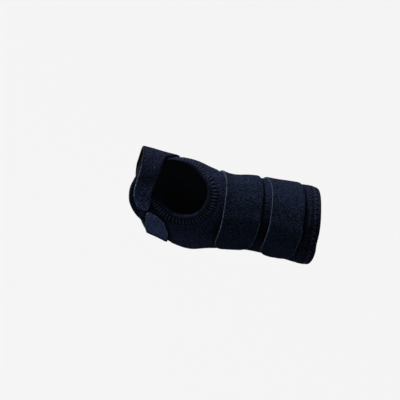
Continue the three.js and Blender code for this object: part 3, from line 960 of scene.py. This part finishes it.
# The columns stand close together at both tips, where the width changes fast
hand_turns = [leaf_tip, 103.7, 104, 104.4, 105, 105.8, 106.8, 108]
hand_turns += [108 + (454 - 108) * i / 220 for i in range(1, 221)]
hand_turns += [456, 458, 459.5, 461, 462, 462.8, 463.2, web_tip]
strap_rows = [0, 0.010, 0.028] + [0.028 + 0.944 * i / 26 for i in range(1, 26)] + [0.972, 0.990, 1]
hand_strap = lay_up("hand_strap_band", hand_turns, strap_rows, hand_strap_place, tone=hand_strap_tone,
                    rim_stuff=2, pale=hand_strap_pale)
clad(hand_strap, hand_strap_pile, lining, cut_edge)
bpy.ops.object.shade_smooth_by_angle(angle=math.radians(50))
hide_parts("hand_strap")
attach(hand_strap, "root")
# A plain box of stitches, past the lap's edge, holds it to the body
BOX_TURNS = (292, 304)
BOX_REACH = 9
near, far = [[(hand_strap_middle(turn) + way * BOX_REACH, turn) for way in (-1, 1)] for turn in BOX_TURNS]
hand_box = [tuple(near), tuple(far), (near[0], far[0]), (near[1], far[1])]
hand_sewn = dashes("hand_strap_stitches", hand_box, lambda turn: hand_strap_lift(turn) + STRAP_WALL)


# Hook patches: plain plates of black woven hook tape under the straps' ends. They are the solids
# themselves, in a dull plastic with the hooks' fine rows.
hook_tape = new_stuff("hook_tape", 0.55, 0.5)
hooks = texture(hook_tape, "Voronoi", Scale=1400).outputs["Distance"]
set_colour(hook_tape, ramp(hook_tape, hooks, (0.020, 0.022, 0.028), (0.003, 0.004, 0.006)))
set_bump(hook_tape, hooks, 0.7, 0.0003)
for node in ("wrist_hook_patch", "forearm_hook_patch", "palm_hook_patch", "web_hook_patch"):
    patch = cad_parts[node]
    patch.data.materials.clear()
    clad(patch, hook_tape)


# The room: a pale floor well below the splint, which stays up as it does when worn, under soft light from
# above and a little from the palm edge's side.
bpy.ops.mesh.primitive_plane_add(size=24, location=(0, 0, -0.6))
floor = bpy.context.object
floor.name = "pale_floor"
floor.visible_diffuse = False
floor.visible_glossy = False
clad(floor, new_stuff("pale_floor", 0.9, 0.5, Base_Color=(0.915, 0.915, 0.915, 1)))

# The camera looks from the photo's side, turned a little about its own line of sight
AZIMUTH, ELEVATION, ROLL = math.radians(-19), math.radians(30), math.radians(-22.5)
DISTANCE = 1.0
PICTURE = 400
PIXELS_PER_TANGENT = 1085
ORIGIN_AT = (230, 209)
back = Vector((
    math.sin(AZIMUTH) * math.cos(ELEVATION), -math.cos(AZIMUTH) * math.cos(ELEVATION), math.sin(ELEVATION)
))
level = Vector((math.cos(AZIMUTH), math.sin(AZIMUTH), 0))
upright = back.cross(level)
right = level * math.cos(ROLL) - upright * math.sin(ROLL)
up = level * math.sin(ROLL) + upright * math.cos(ROLL)
aim = -right * (ORIGIN_AT[0] - PICTURE / 2) * DISTANCE / PIXELS_PER_TANGENT
aim += up * (ORIGIN_AT[1] - PICTURE / 2) * DISTANCE / PIXELS_PER_TANGENT
eye = back * DISTANCE
away = (eye - aim).normalized()
side = up.cross(away).normalized()
camera_data = bpy.data.cameras.new("camera")
camera_data.sensor_width = 36
camera_data.lens = PIXELS_PER_TANGENT / PICTURE * camera_data.sensor_width
camera_data.clip_start, camera_data.clip_end = 0.01, 50
camera = set_down("camera", camera_data)
camera.matrix_world = Matrix.Translation(eye) @ Matrix((side, away.cross(side), away)).transposed().to_4x4()
bpy.context.scene.camera = camera


def lamp(name, energy, spread, comes_from):
    """A lamp whose light comes from one direction, spread over so many degrees"""
    data = bpy.data.lights.new(name, "SUN")
    data.energy = energy
    data.angle = math.radians(spread)
    set_down(name, data).rotation_euler = comes_from.to_track_quat("Z", "Y").to_euler()


lamp("overhead_softbox", 3.9, 26, up * 0.80 - right * 0.42 + back * 0.32)
lamp("low_fill", 0.65, 60, back * 0.8 - right * 0.7 - up * 0.2)
world = bpy.data.worlds.new("studio")
world.use_nodes = True
world.node_tree.nodes["Background"].inputs["Color"].default_value = (1, 1, 1, 1)
world.node_tree.nodes["Background"].inputs["Strength"].default_value = 0.12
bpy.context.scene.world = world
bpy.context.scene.view_settings.view_transform = "Standard"
